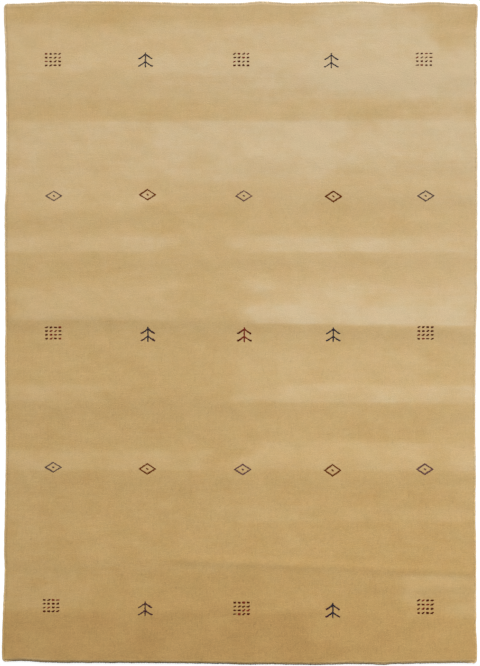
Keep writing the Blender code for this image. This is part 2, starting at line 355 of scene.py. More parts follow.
def sand_wool(name, shift=0.0, contrast=1.0, bump_depth=0.0005, sheen=0.12, wound=False):
    """Sand wool, a little paler or more golden by its shift."""
    material = bpy.data.materials.new(name)
    material.use_nodes = True
    tree = material.node_tree
    paleness = add_node(tree, "ShaderNodeAttribute", attribute_name="paleness").outputs["Fac"]
    grain = calc(tree, "MULTIPLY_ADD", paleness, -1.6 * contrast, 2.2 * contrast)
    tone, height = wool_tone(tree, grain, wound)
    colour = add_node(tree, "ShaderNodeGroup", node_tree=sand_group)
    tree.links.new(calc(tree, "ADD", paleness, shift), colour.inputs["Paleness"])
    tree.links.new(tone, colour.inputs["Tone"])
    return finish_wool(material, colour.outputs["Colour"], height, bump_depth, sheen)


def dyed_wool(name, dye, contrast=1.6):
    """Wool of one dye, streaked a little because the yarn took it unevenly."""
    material = bpy.data.materials.new(name)
    material.use_nodes = True
    tree = material.node_tree
    grain = add_node(tree, "ShaderNodeValue").outputs[0]
    grain.default_value = contrast
    tone, height = wool_tone(tree, grain, False)
    colour = add_node(tree, "ShaderNodeVectorMath", {0: dye, "Scale": tone}, operation="SCALE")
    return finish_wool(material, colour.outputs["Vector"], height, 0.0004, 0.0, 0.05)


pile_wool = sand_wool("pile_wool")
ground_wool = sand_wool("ground_weave_wool", shift=-0.10, contrast=2.5)

# %% [markdown]
# ## The outline and the folds
# No hand-made rug is quite straight. Each edge swings out and draws in by a few millimetres, and
# low folds run across the pile where the rug was rolled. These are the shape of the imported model,
# so the same tables and the same sums stand here. Each edge is read as a smooth line through its
# rows of place and outward swing.

# %% List the swings of the four edges, in metres
LEFT_SWING, RIGHT_SWING, END_SWING = 0.0107, 0.0046, 0.005
LEFT_EDGE = [
    (1.15, 0.0040), (1.01, -0.0011), (0.72, -0.0043), (0.51, -0.0025), (0.44, 0.0011),
    (0.29, 0.0006), (0.01, -0.0014), (-0.06, 0.0), (-0.38, -0.0030), (-0.63, 0.0004),
    (-0.78, 0.0034), (-0.85, 0.0014), (-0.99, 0.0068), (-1.13, LEFT_SWING),
]
RIGHT_EDGE = [
    (1.15, RIGHT_SWING), (1.08, 0.0), (0.72, 0.0004), (0.65, 0.0029), (0.15, 0.0021),
    (0.01, -0.0018), (-0.35, -0.0043), (-0.49, -0.0021), (-0.63, -0.0036), (-0.78, -0.0014),
    (-1.06, -0.0011), (-1.13, 0.0025),
]
HEAD_EDGE = [
    (-0.82, -0.0039), (-0.73, -0.0011), (-0.60, END_SWING), (-0.39, 0.0039), (-0.13, -0.0021),
    (-0.01, -0.0018), (0.08, 0.0043), (0.18, -0.0018), (0.42, 0.0046), (0.56, -0.0039),
    (0.69, 0.0021), (0.81, -0.0043),
]
FOOT_EDGE = [
    (-0.82, -0.0071), (-0.78, -0.0089), (-0.65, -0.0025), (-0.30, -0.0014), (-0.05, 0.0018),
    (0.04, 0.0043), (0.08, 0.0029), (0.27, END_SWING), (0.42, 0.0021), (0.51, 0.0046),
    (0.56, 0.0021), (0.81, -0.0018),
]
LEFT = -BOX_WIDTH / 2 + LEFT_SWING
RIGHT = BOX_WIDTH / 2 - RIGHT_SWING
HEAD = BOX_LENGTH / 2 - END_SWING
FOOT = -BOX_LENGTH / 2 + END_SWING


# %% Bend the straight outline into the real one
def swing_at(edge, place):
    """Outward swing of an edge at each place: a smooth line that never passes its rows."""
    at, out = np.array(sorted(edge)).T
    rise = np.diff(out) / np.diff(at)
    before, after = rise[:-1], rise[1:]
    same_way = before * after > 0.0
    slope = np.zeros(len(at))
    slope[1:-1][same_way] = 2 * (before * after)[same_way] / (before + after)[same_way]
    place = np.clip(place, at[0], at[-1])
    row = np.clip(np.searchsorted(at, place, side="right") - 1, 0, len(at) - 2)
    span = at[row + 1] - at[row]
    t = (place - at[row]) / span
    level = (2 * t**3 - 3 * t**2 + 1) * out[row] + (3 * t**2 - 2 * t**3) * out[row + 1]
    return level + span * ((t**3 - 2 * t**2 + t) * slope[row] + (t**3 - t**2) * slope[row + 1])


def wander(x, y):
    """Carry points of the straight-edged rug to their places in the wandering outline."""
    across = (x - LEFT) / (RIGHT - LEFT)
    along = (y - FOOT) / (HEAD - FOOT)
    shift_x = across * swing_at(RIGHT_EDGE, y) - (1 - across) * swing_at(LEFT_EDGE, y)
    shift_y = along * swing_at(HEAD_EDGE, x) - (1 - along) * swing_at(FOOT_EDGE, x)
    return x + shift_x, y + shift_y


# %% [markdown]
# A fold is a low ridge. Its row tells where the crest runs at the left edge, the middle and the
# right edge, its height, how far it slopes towards the head and the foot, and the stretch of x that
# it covers. The strongest lies across the middle, and a crisp one crosses near the foot.

# %% List the folds, in metres
FOLDS = [
    (0.895, 0.935, 0.925, 0.0030, 0.110, 0.060, -0.95, 0.95),
    (0.620, 0.615, 0.610, 0.0018, 0.060, 0.045, -0.05, 0.95),
    (0.520, 0.515, 0.505, 0.0020, 0.050, 0.045, 0.15, 0.95),
    (0.425, 0.430, 0.435, 0.0022, 0.070, 0.050, -0.95, -0.25),
    (0.285, 0.290, 0.285, 0.0026, 0.090, 0.060, -0.95, 0.95),
    (0.062, 0.050, 0.020, 0.0048, 0.150, 0.042, -0.95, 0.95),
    (-0.235, -0.228, -0.252, 0.0028, 0.090, 0.055, -0.95, 0.95),
    (-0.455, -0.455, -0.457, 0.0014, 0.030, 0.030, 0.05, 0.95),
    (-0.490, -0.495, -0.505, 0.0022, 0.060, 0.060, -0.95, 0.95),
    (-0.800, -0.818, -0.858, 0.0024, 0.110, 0.060, -0.95, 0.95),
    (-0.800, -0.817, -0.858, 0.0020, 0.016, 0.014, -0.25, 0.95),
    (-0.900, -0.900, -0.905, 0.0012, 0.020, 0.020, 0.45, 0.95),
]
FOLD_FADE = 0.22
CENTRE_FOLD_HEIGHT = 0.0009
CENTRE_FOLD_RUN = 0.020
WAVERS = [(0.0004, 1.6, 2.3, 0.4), (0.0003, 3.1, -1.7, 1.9), (0.0002, 5.3, 4.1, 2.6)]

GROUND_WEAVE = 0.003
PILE = 0.010
RIM_WALL = 0.0112
SHOULDER_REACH = 0.012
RIM_FOLD_SHARE = 0.45
CORD_WIDTH = 0.0095
CORD_HEIGHT = 0.0092
CORNER_RADIUS = 0.014
SEAM_GAP = 0.0003
INSET = CORD_WIDTH + SEAM_GAP


# %% Work out the height of the pile
def fold_lift(x, y):
    """How far the folds lift the pile."""
    lift = CENTRE_FOLD_HEIGHT * np.exp(-((x / CENTRE_FOLD_RUN) ** 2))
    t = 2 * x / BOX_WIDTH
    for left, middle, right, height, to_head, to_foot, start, end in FOLDS:
        crest = middle + (right - left) / 2 * t + ((right + left) / 2 - middle) * t * t
        off_crest = y - crest
        run = np.where(off_crest > 0, to_head, to_foot)
        inside = np.clip(np.minimum(x - start, end - x) / FOLD_FADE + 0.5, 0, 1)
        lift = lift + height * inside**2 * (3 - 2 * inside) * np.exp(-((off_crest / run) ** 2))
    for height, along_x, along_y, start in WAVERS:
        lift = lift + height * np.sin(along_x * x + along_y * y + start)
    return lift


def clipping(x, y):
    """The slight unevenness that hand shears leave in the pile: many small waves, added up."""
    draw = np.random.default_rng(7)
    uneven = np.zeros_like(x)
    for _ in range(48):
        heading = draw.uniform(0, math.pi)
        wave = 2 * math.pi / draw.uniform(0.028, 0.110)
        start = draw.uniform(0, 2 * math.pi)
        uneven += np.sin(wave * (np.cos(heading) * x + np.sin(heading) * y) + start) / wave
    return CLIPPING_SLOPE * uneven


def pile_top(x, y, from_rim):
    """Height of the clipped pile, with its rounded shoulder along the rim."""
    inward = np.clip(from_rim / SHOULDER_REACH, 0, 1)
    shoulder = np.sqrt(1 - (1 - inward) ** 2)
    full = GROUND_WEAVE + PILE
    share = RIM_FOLD_SHARE + (1 - RIM_FOLD_SHARE) * shoulder
    return RIM_WALL + (full - RIM_WALL) * shoulder + share * fold_lift(x, y) + shoulder * clipping(x, y)


CLIPPING_SLOPE = 0.0045
FIELD_LEFT, FIELD_RIGHT = LEFT + INSET, RIGHT - INSET
FIELD_FOOT, FIELD_HEAD = FOOT + INSET, HEAD - INSET


def from_rim(x, y):
    """How far a point lies inside the field's rim."""
    return np.minimum(
        np.minimum(x - FIELD_LEFT, FIELD_RIGHT - x), np.minimum(y - FIELD_FOOT, FIELD_HEAD - y)
    )


# %% [markdown]
# ## Lots of yarn and painted fold light
# Each new lot of hand-dyed yarn is a little paler or more golden, and the weaver uses it up row by
# row. That leaves slow bands across the rug, called abrash. Some lots run right across, others
# begin or end where another ball of yarn was taken up. Many bands are also painted light and shade:
# they lie along the folds, paler on a flank that faces the main light and more golden on a flank
# turned away from it. A lot's row tells its edge on the foot side and on the head side, how soft
# each edge is, from where to where it runs across the rug, how far it slopes from left to right,
# and how much paler it is.

# %% List the lots of yarn and the painted fold light, in metres
LOTS_AND_FOLD_LIGHT = [
    (1.100, 1.300, 0.050, 0.10, -1.00, 1.00, 0.000, -0.17),
    (1.010, 1.300, 0.060, 0.10, 0.68, 1.00, 0.000, -0.22),
    (1.110, 1.300, 0.050, 0.10, 0.34, 0.70, 0.000, 0.12),
    (1.070, 1.300, 0.040, 0.10, -0.62, -0.40, 0.000, -0.10),
    (0.920, 0.985, 0.020, 0.035, -0.60, 0.72, -0.018, 0.07),
    (0.875, 0.925, 0.030, 0.020, 0.05, 0.72, -0.018, 0.10),
    (0.765, 0.830, 0.030, 0.040, -1.00, 1.00, 0.000, -0.10),
    (0.765, 0.830, 0.030, 0.040, 0.30, 1.00, 0.000, -0.10),
    (0.540, 0.757, 0.050, 0.014, -0.84, 0.35, 0.000, 0.13),
    (0.620, 0.757, 0.040, 0.014, -0.30, 0.80, 0.000, 0.05),
    (0.440, 0.540, 0.040, 0.050, -0.86, -0.36, 0.000, 0.12),
    (0.360, 0.470, 0.040, 0.040, -0.30, 1.00, 0.000, -0.08),
    (0.290, 0.350, 0.014, 0.040, -0.95, -0.30, 0.000, 0.18),
    (0.288, 0.345, 0.012, 0.030, 0.02, 0.80, 0.000, 0.18),
    (0.048, 0.175, 0.012, 0.060, -0.80, -0.25, 0.000, 0.16),
    (0.035, 0.190, 0.010, 0.070, 0.03, 1.10, -0.012, 0.18),
    (0.035, 0.105, 0.010, 0.050, 0.03, 0.80, -0.012, 0.14),
    (-0.180, -0.070, 0.050, 0.050, -0.05, 0.65, 0.000, 0.08),
    (-0.245, -0.180, 0.012, 0.030, -0.02, 1.10, -0.006, 0.21),
    (-0.245, -0.185, 0.016, 0.030, -1.00, -0.45, 0.000, 0.13),
    (-0.488, -0.385, 0.018, 0.030, 0.02, 1.00, -0.006, 0.16),
    (-0.488, -0.420, 0.018, 0.030, -1.00, -0.15, 0.000, 0.14),
    (-0.672, -0.620, 0.012, 0.030, -0.15, 0.78, 0.000, 0.08),
    (-1.000, -0.850, 0.050, 0.020, 0.58, 1.10, -0.020, 0.20),
    (-1.000, -0.860, 0.060, 0.040, -0.33, 0.08, 0.000, -0.09),
    (-1.300, -0.995, 0.100, 0.035, -1.00, 0.30, 0.000, -0.19),
    (-1.300, -0.995, 0.100, 0.035, -0.10, 0.60, 0.000, -0.03),
]
LOT_END_SOFTNESS = 0.09
RAGGED_END, UNEVEN_DYE = 0.045, 0.30
GOLDEN_AT_FOOT, PALE_AT_HEAD = 0.27, 0.90
ACROSS_SHARE = 0.32
# Painted light on the right half, and painted shade at the head edge and on the left side, laid into the wool's tone
PAINTED_LIGHT_RIGHT = 0.066
PAINTED_SHADE_HEAD, PAINTED_SHADE_LEFT = 0.15, 0.035
PALER_AT_HEAD_EDGE, PALER_AT_FOOT_EDGE = 0.14, 0.32
PALER_LEFT, GOLDEN_RIGHT = 0.07, 0.055


def soft_step(t):
    """A smooth step from 0 to 1 as t goes from -0.5 to 0.5."""
    t = np.clip(t + 0.5, 0, 1)
    return t * t * (3 - 2 * t)


def drift(x, y, start):
    """A slow, even-handed unevenness between about -1 and 1, added up from a few waves."""
    waves = ((9, 31, 1), (23, -47, 3), (-14, 70, 5), (37, 19, 8))
    return sum(np.sin(a * x + b * y + start * c) for a, b, c in waves) / 2


def from_head(x, y):
    """How far a point of the real outline lies from the head edge."""
    return HEAD + swing_at(HEAD_EDGE, x) - y


def from_foot(x, y):
    """How far a point of the real outline lies from the foot edge."""
    return y - FOOT + swing_at(FOOT_EDGE, x)


def painted_light_and_shade_at(x, y):
    """Painted light and shade in the wool's tone: painted light on the right half towards the foot,
    painted shade along the head edge and on the left side.
    """
    painted_light_right_half = PAINTED_LIGHT_RIGHT * soft_step(x / 0.9) * soft_step((0.25 - y) / 1.1)
    head = PAINTED_SHADE_HEAD * soft_step((0.018 - from_head(x, y)) / 0.012)
    left = PAINTED_SHADE_LEFT * soft_step((-0.62 - x) / 0.3) * (0.6 + soft_step((-0.5 - y) / 1.2))
    return painted_light_right_half - head - left


def paleness_at(x, y):
    """Where the wool lies between golden, 0, and pale, 1, with the painted fold light and shade of the lots worked in.
    """
    along = y / BOX_LENGTH + 0.5
    pale = GOLDEN_AT_FOOT + (PALE_AT_HEAD - GOLDEN_AT_FOOT) * along
    pale = pale + ACROSS_SHARE * soft_step((along - 0.3) / 0.6) * x / BOX_WIDTH
    pale = pale + PALER_LEFT * soft_step((-0.60 - x) / 0.35)
    pale = pale + PALER_AT_FOOT_EDGE * soft_step((0.0155 - from_foot(x, y)) / 0.008)
    pale = pale + PALER_AT_HEAD_EDGE * soft_step((0.0130 - from_head(x, y)) / 0.012)
    pale = pale - GOLDEN_RIGHT * soft_step((x - 0.32) / 0.3) * soft_step((0.80 - x) / 0.2) * soft_step((0.55 - y) / 0.3)
    # Lots along the folds are partly painted light on the flank facing the main light and painted shade on the flank
    # turned away
    for lot, (foot_edge, head_edge, foot_soft, head_soft, start, end, slope, paler_or_fold_lit) in enumerate(LOTS_AND_FOLD_LIGHT):
        line = y - slope * x
        ragged = RAGGED_END * drift(0 * x, y, lot)
        within = soft_step((line - foot_edge) / foot_soft) * soft_step((head_edge - line) / head_soft)
        reach = soft_step((x - start - ragged) / LOT_END_SOFTNESS)
        reach = reach * soft_step((end - x + ragged) / LOT_END_SOFTNESS)
        pale = pale + paler_or_fold_lit * within * reach * (1 + UNEVEN_DYE * drift(x, 0.4 * y, lot + 0.5))
    return pale


def read_points(mesh):
    """All points of a mesh as an array."""
    points = np.empty(len(mesh.vertices) * 3)
    mesh.vertices.foreach_get("co", points)
    return points.reshape(-1, 3)


def write_points(mesh, points):
    """Put all points of a mesh in their places."""
    mesh.vertices.foreach_set("co", np.ascontiguousarray(points, dtype=np.float32).ravel())
    mesh.update()


def write_shade(mesh, paleness, tone):
    """Store the wool's paleness and its own tone on a mesh, with painted light and shade added to the tone."""
    points = read_points(mesh)
    tone = tone + painted_light_and_shade_at(points[:, 0], points[:, 1])
    for name, values in (("paleness", paleness), ("tone", tone)):
        store = mesh.attributes.new(name, "FLOAT", "POINT")
        store.data.foreach_set("value", np.asarray(values, dtype=np.float32))


# %% [markdown]
# ## The knotted field
# The cloth is one piece: a thin ground weave with the pile knotted on it. It could be a flat box
# with a bump, but then no fold would show from the side. So it starts as a fine grid, whose points
# are carried to the folds and the real outline. Its rim is then extruded down to the ground weave
# and to the floor, and closed with one face underneath.

# %% Choose where the grid lines run
GRID_SPACING = 0.0088
WEFT_REACH = 0.0014
NEAR_RIM = [0.0, 0.0010, 0.0026, 0.0050, 0.008, SHOULDER_REACH]


def grid_lines(low, high):
    """Places from low to high, close together near both rims."""
    inner = np.linspace(low + NEAR_RIM[-1], high - NEAR_RIM[-1], round((high - low) / GRID_SPACING))
    near = np.array(NEAR_RIM[:-1])
    return np.concatenate([low + near, inner, (high - near)[::-1]])


columns, rows = grid_lines(FIELD_LEFT, FIELD_RIGHT), grid_lines(FIELD_FOOT, FIELD_HEAD)
bpy.ops.mesh.primitive_grid_add(x_subdivisions=len(columns) - 1, y_subdivisions=len(rows) - 1, size=2)
field = bpy.context.object
field.name = "knotted_pile"
print(f"the grid has {len(field.data.vertices)} points for {len(columns)} by {len(rows)} lines")


# %% Carry the grid to the pile's shape
points = read_points(field.data)
column = np.rint((points[:, 0] + 1) / 2 * (len(columns) - 1)).astype(int)
row = np.rint((points[:, 1] + 1) / 2 * (len(rows) - 1)).astype(int)
x, y = columns[column], rows[row]
depth = from_rim(x, y)

# The square corner of the grid is drawn in to the arc that the cord follows
corner_radius = CORNER_RADIUS - INSET
away_x = np.minimum(x - FIELD_LEFT, FIELD_RIGHT - x)
away_y = np.minimum(y - FIELD_FOOT, FIELD_HEAD - y)
in_corner = (away_x < corner_radius) & (away_y < corner_radius)
reach = np.hypot(corner_radius - away_x, corner_radius - away_y)
furthest = np.maximum(corner_radius - away_x, corner_radius - away_y)
pull = np.where(in_corner, furthest / np.maximum(reach, 1e-9), 1.0)
x = np.where(in_corner, x + np.sign(-x) * (corner_radius - away_x) * (1 - pull), x)
y = np.where(in_corner, y + np.sign(-y) * (corner_radius - away_y) * (1 - pull), y)
real_x, real_y = wander(x, y)
write_points(field.data, np.column_stack([real_x, real_y, pile_top(x, y, depth)]))
write_shade(field.data, paleness_at(real_x, real_y), np.zeros(len(real_x)))

# %% Draw the rim down to the floor and close the underside
bpy.ops.object.mode_set(mode="EDIT")
bpy.ops.mesh.select_all(action="SELECT")
bpy.ops.mesh.region_to_loop()
for level, outward in ((GROUND_WEAVE, WEFT_REACH), (0.0, 0.0)):
    bpy.ops.mesh.extrude_edges_move()
    bpy.ops.object.mode_set(mode="OBJECT")
    picked = np.zeros(len(field.data.vertices), dtype=bool)
    field.data.vertices.foreach_get("select", picked)
    points = read_points(field.data)
    points[picked, 2] = level
    points[picked, 0] *= 1.0 + outward / FIELD_RIGHT
    points[picked, 1] *= 1.0 + outward / FIELD_HEAD
    write_points(field.data, points)
    bpy.ops.object.mode_set(mode="EDIT")
bpy.ops.mesh.edge_face_add()
bpy.ops.mesh.select_all(action="SELECT")
bpy.ops.mesh.normals_make_consistent(inside=False)
bpy.ops.object.mode_set(mode="OBJECT")
bpy.ops.object.shade_smooth()
field.data.materials.append(pile_wool)
field.data.materials.append(ground_wool)
for face in field.data.polygons:
    face.material_index = int(face.center.z < GROUND_WEAVE * 0.6)
bpy.ops.object.select_all(action="DESELECT")
print(f"the knotted field has {len(field.data.polygons)} faces")


# %% [markdown]
# ## Copying small things by the thousand
# Tufts, dyed knots and stitches are each modelled once, small and simple. Their copies are joined
# into one mesh with array sums, which is far quicker than thousands of objects. Every copy gets its
# own turn, size, lean and tone.

# %% Write the copying helper
def take_shape(thing):
    """The points and faces of a modelled shape, which is then removed."""
    points = read_points(thing.data)
    faces = [list(face.vertices) for face in thing.data.polygons]
    bpy.data.objects.remove(thing, do_unlink=True)
    return points, faces


def mesh_piece(name, points, faces, tones, material):
    """A finished piece from points and faces, with one tone a point."""
    mesh = bpy.data.meshes.new(name)
    mesh.from_pydata(points.tolist(), [], faces)
    write_shade(mesh, paleness_at(points[:, 0], points[:, 1]), tones)
    mesh.shade_smooth()
    mesh.materials.append(material)
    piece = bpy.data.objects.new(name, mesh)
    bpy.context.scene.collection.objects.link(piece)
    return piece


def copies(name, shape, places, turns, sizes, leans, tones, material):
    """Copies of a shape at places, turned about Z, sized along its own axes and leaned by height."""
    base, faces = shape
    count = len(places)
    sized = base[None, :, :] * sizes[:, None, :]
    sized[:, :, 0] += sized[:, :, 2] * leans[:, 0, None]
    sized[:, :, 1] += sized[:, :, 2] * leans[:, 1, None]
    cos, sin = np.cos(turns)[:, None], np.sin(turns)[:, None]
    made = np.stack(
        [
            sized[:, :, 0] * cos - sized[:, :, 1] * sin,
            sized[:, :, 0] * sin + sized[:, :, 1] * cos,
            sized[:, :, 2],
        ],
        axis=2,
    )
    made += places[:, None, :]
    all_faces = [[v + i * len(base) for v in face] for i in range(count) for face in faces]
    piece = mesh_piece(name, made.reshape(-1, 3), all_faces, np.repeat(tones, len(base)), material)
    print(f"{name}: {count} copies, {len(all_faces)} faces")
    return piece


# %% [markdown]
# ## The dyed knots
# A weaver changes yarn for a knot, ties it and goes back to the sand wool, so a motif is a little
# chart of knots. The charts below are worked out in knots: a square of four by four dots of two by
# two knots, a tree with a trunk and two pairs of hanging arms, and a lozenge with a dot in it.

# %% Chart the motifs in knots
def dot_square(draw):
    """Knots of a square of dots. Most dots are two by two, some came out slanted or wide."""
    shapes = {
        "square": [(0, 0), (0.9, 0), (0, 0.9), (0.9, 0.9)],
        "slanted": [(-0.1, -0.2), (0.5, 0.4), (1.0, 0.9)],
        "wide": [(-0.2, 0.4), (0.6, 0.3), (1.3, 0.5), (0.5, 0.8)],
        "leaning": [(-0.2, 0), (0.6, 0), (0.7, 0.8), (1.2, 1.1)],
    }
    knots = []
    for across in range(4):
        for up in range(4):
            kind = draw.choice(list(shapes), p=[0.40, 0.15, 0.20, 0.25])
            part = "tip" if draw.random() < 0.17 else "main"
            corner_x, corner_y = (across - 1.5) * 4.0 - 0.5, (up - 1.5) * 5.3 - 0.4
            knots += [(corner_x + dx, corner_y + dy, part, 1.0) for dx, dy in shapes[kind]]
    return knots


def tree(draw):
    """Knots of a little tree: a trunk and two pairs of arms that hang down and out."""
    half_height = 9.7
    knots = [(0, up, "main", 0.82) for up in np.linspace(-half_height, half_height, 19)]
    for start, length, step_out in ((7.5, 6, 0.92), (-2.8, 6, 0.97)):
        knots += [(side * 0.7, start - 0.3, "main", 0.95) for side in (-1, 1)]
        for step in range(1, length + 1):
            drop = start - step + (0.35 if step == length else 0.0)
            part = "tip" if step > 3 else "main"
            fuller = 1.00 + 0.03 * step
            knots += [(side * step * step_out, drop, part, fuller) for side in (-1, 1)]
    return knots


def lozenge(draw):
    """Knots of a lozenge outline with a dot at its middle."""
    half = 7
    outline = [
        (across, up, "main", 1.0)
        for across in range(-half, half + 1)
        for up in range(-half, half + 1)
        if abs(across) + abs(up) == half
    ]
    return outline + [(-0.3, 0.4, "main", 1.0), (0.4, -0.4, "main", 1.0)]


# %% Name the dyes
DYES = {
    "madder": (0.060, 0.0090, 0.0028),
    "cherry": (0.140, 0.0180, 0.0085),
    "russet": (0.105, 0.0230, 0.0020),
    "indigo": (0.0220, 0.0170, 0.0250),
    "aubergine": (0.0420, 0.0140, 0.0180),
    "slate": (0.085, 0.053, 0.045),
    "plum": (0.105, 0.050, 0.044),
}

# %% Lay out the motifs
# Chart, main dye, dye of the tips, how tall the rows were beaten, how full the yarn is, and the
# place of the middle across and along the rug in metres
MOTIFS = [
    (dot_square, "madder", "cherry", 1.0, 1.22, -0.667, 0.976),
    (tree, "indigo", "indigo", 1.0, 1.30, -0.337, 0.975),
    (dot_square, "madder", "cherry", 1.0, 1.22, 0.005, 0.976),
    (tree, "indigo", "indigo", 1.0, 1.24, 0.326, 0.972),
    (dot_square, "madder", "cherry", 1.0, 1.12, 0.657, 0.977),
    (lozenge, "slate", "slate", 0.92, 1.30, -0.664, 0.490),
    (lozenge, "russet", "russet", 1.0, 1.72, -0.330, 0.495),
    (lozenge, "plum", "plum", 1.0, 1.27, 0.014, 0.490),
    (lozenge, "russet", "russet", 1.0, 1.82, 0.333, 0.489),
    (lozenge, "slate", "slate", 1.0, 1.32, 0.663, 0.490),
    (dot_square, "madder", "cherry", 0.97, 1.32, -0.666, 0.001),
    (tree, "indigo", "aubergine", 1.0, 1.40, -0.328, -0.004),
    (tree, "cherry", "madder", 1.0, 1.85, 0.015, -0.004),
    (tree, "indigo", "indigo", 0.97, 1.38, 0.333, -0.005),
    (dot_square, "madder", "cherry", 1.0, 1.30, 0.662, 0.001),
    (lozenge, "slate", "slate", 0.92, 1.36, -0.666, -0.478),
    (lozenge, "russet", "russet", 1.0, 1.70, -0.331, -0.483),
    (lozenge, "plum", "plum", 1.0, 1.50, 0.010, -0.486),
    (lozenge, "russet", "russet", 1.10, 1.78, 0.330, -0.488),
    (lozenge, "plum", "plum", 1.0, 1.95, 0.659, -0.484),
    (dot_square, "madder", "cherry", 0.97, 1.38, -0.674, -0.972),
    (tree, "aubergine", "aubergine", 0.97, 1.36, -0.338, -0.983),
    (dot_square, "madder", "cherry", 1.0, 1.50, 0.006, -0.982),
    (tree, "indigo", "aubergine", 1.0, 1.80, 0.331, -0.989),
    (dot_square, "madder", "cherry", 1.08, 1.50, 0.662, -0.976),
]

# %% Model the soft lumps
def soft_lump(segments, rings, roundness):
    """A closed, lopsided mound, one unit from its middle to its rim and to its top."""
    bpy.ops.mesh.primitive_uv_sphere_add(segments=segments, ring_count=rings, radius=1.0)
    lump = bpy.context.object
    bpy.ops.object.mode_set(mode="EDIT")
    bpy.ops.mesh.select_all(action="SELECT")
    bpy.ops.mesh.bisect(
        plane_co=(0.0, 0.0, 0.001), plane_no=(0.0, 0.0, 1.0), use_fill=True, clear_inner=True
    )
    bpy.ops.object.mode_set(mode="OBJECT")
    points = read_points(lump.data)
    points[:, 2] **= roundness
    angle = np.arctan2(points[:, 1], points[:, 0])
    points[:, :2] *= (1.0 + 0.10 * np.sin(2 * angle + 0.7) + 0.07 * np.sin(3 * angle))[:, None]
    write_points(lump.data, points)
    return take_shape(lump)


yarn_tip = soft_lump(10, 6, 1.5)
rim_lump = soft_lump(7, 4, 1.6)
print(f"a yarn tip has {len(yarn_tip[1])} faces, a rim lump {len(rim_lump[1])}")

# %% Knot the motifs
TIP_HALF_SIZE = (0.0027, 0.00205, 0.0013)
TIP_SUNK = 0.0004
TIED_TWICE = 1.5
SECOND_KNOT = (0.30, -0.75)
draw = np.random.default_rng(11)
knots_of = {dye: [] for dye in DYES}
for chart, main_dye, tip_dye, beat, fullness, middle_x, middle_y in MOTIFS:
    ties = ((0.0, 0.0), SECOND_KNOT) if fullness > TIED_TWICE else ((0.0, 0.0),)
    size = fullness / len(ties) ** 0.6
    for across, up, part, share in chart(draw):
        dye = main_dye if part == "main" else tip_dye
        for tie_x, tie_y in ties:
            place_x = middle_x + (across + tie_x) * KNOT_WIDTH
            place_y = middle_y + (up + tie_y) * KNOT_LENGTH * beat
            knots_of[dye].append((place_x, place_y, size * share))
motif_pieces = []
for dye, places in knots_of.items():
    x, y, fullness = np.array(places).T
    count = len(x)
    x = x + draw.normal(0, 0.00030, count)
    y = y + draw.normal(0, 0.00025, count)
    z = pile_top(x, y, from_rim(x, y)) - TIP_SUNK
    sizes = np.tile(TIP_HALF_SIZE, (count, 1)) * draw.uniform(0.90, 1.12, (count, 1))
    sizes[:, :2] *= fullness[:, None]
    leans = np.column_stack([draw.normal(0, 0.15, count), draw.normal(-0.25, 0.15, count)])
    wool = dyed_wool(f"{dye}_wool", DYES[dye])
    piece = copies(
        f"motif_knots_{dye}", yarn_tip, np.column_stack([x, y, z]), draw.normal(0, 0.20, count), sizes,
        leans, draw.uniform(-0.25, 0.35, count), wool,
    )
    motif_pieces.append(piece)

# %% [markdown]
# ## Proud knots
# The shears leave a knot here and there a little longer than the rest, often a few in a row along
# or across the rug. They show as short dashes, a shade paler or darker than the wool around.

# %% Strew the proud knots over the field
DASHES = 1500
starts = np.column_stack(
    [draw.uniform(FIELD_LEFT + 0.03, FIELD_RIGHT - 0.03, DASHES), draw.uniform(FIELD_FOOT + 0.03, FIELD_HEAD - 0.03, DASHES)]
)
knots_in_dash = draw.integers(2, 7, DASHES)
lengthwise = draw.random(DASHES) < 0.65
dash = np.repeat(np.arange(DASHES), knots_in_dash)
step = np.concatenate([np.arange(number) for number in knots_in_dash])
count = len(dash)
sway = draw.normal(0, 0.0005, count)
x = starts[dash, 0] + np.where(lengthwise[dash], sway, step * KNOT_WIDTH * 0.85)
y = starts[dash, 1] + np.where(lengthwise[dash], step * KNOT_LENGTH, sway)
z = pile_top(x, y, from_rim(x, y)) - 0.0008
sizes = np.column_stack(
    [draw.uniform(0.0015, 0.0022, count), draw.uniform(0.0012, 0.0018, count), draw.uniform(0.0008, 0.0012, count)]
)
dash_tone = draw.normal(0.0, 0.045, DASHES)
real_x, real_y = wander(x, y)
proud_knots = copies(
    "proud_knots", rim_lump, np.column_stack([real_x, real_y, z]), draw.normal(0, 0.3, count), sizes,
    draw.normal(0, 0.2, (count, 2)), dash_tone[dash], pile_wool,
)

# %% [markdown]
# ## Rim knots
# The last row of knots leans out over the seam and lies against the cord, so the field ends in a
# soft, uneven line and not in a wall. Two staggered rows of soft lumps make it. At the foot the
# rows are sparser and the ground shows dark between them.

# %% Set the rim knots
def rim_walk(inset, step, draw):
    """Places round the field's rim, inset from it, with the way out at each."""
    found = []
    for low, high, line, way in (
        (FIELD_LEFT, FIELD_RIGHT, FIELD_HEAD - inset, 0.0),
        (FIELD_LEFT, FIELD_RIGHT, FIELD_FOOT + inset, math.pi),
        (FIELD_FOOT, FIELD_HEAD, FIELD_LEFT + inset, math.pi / 2),
        (FIELD_FOOT, FIELD_HEAD, FIELD_RIGHT - inset, -math.pi / 2),
    ):
        at = np.arange(low + 0.0015, high - 0.0015, step)
        at = at + draw.normal(0, step * 0.22, len(at))
        lined = np.full(len(at), line)
        pair = (at, lined) if way in (0.0, math.pi) else (lined, at)
        found.append(np.column_stack([*pair, np.full(len(at), way)]))
    return np.concatenate(found)


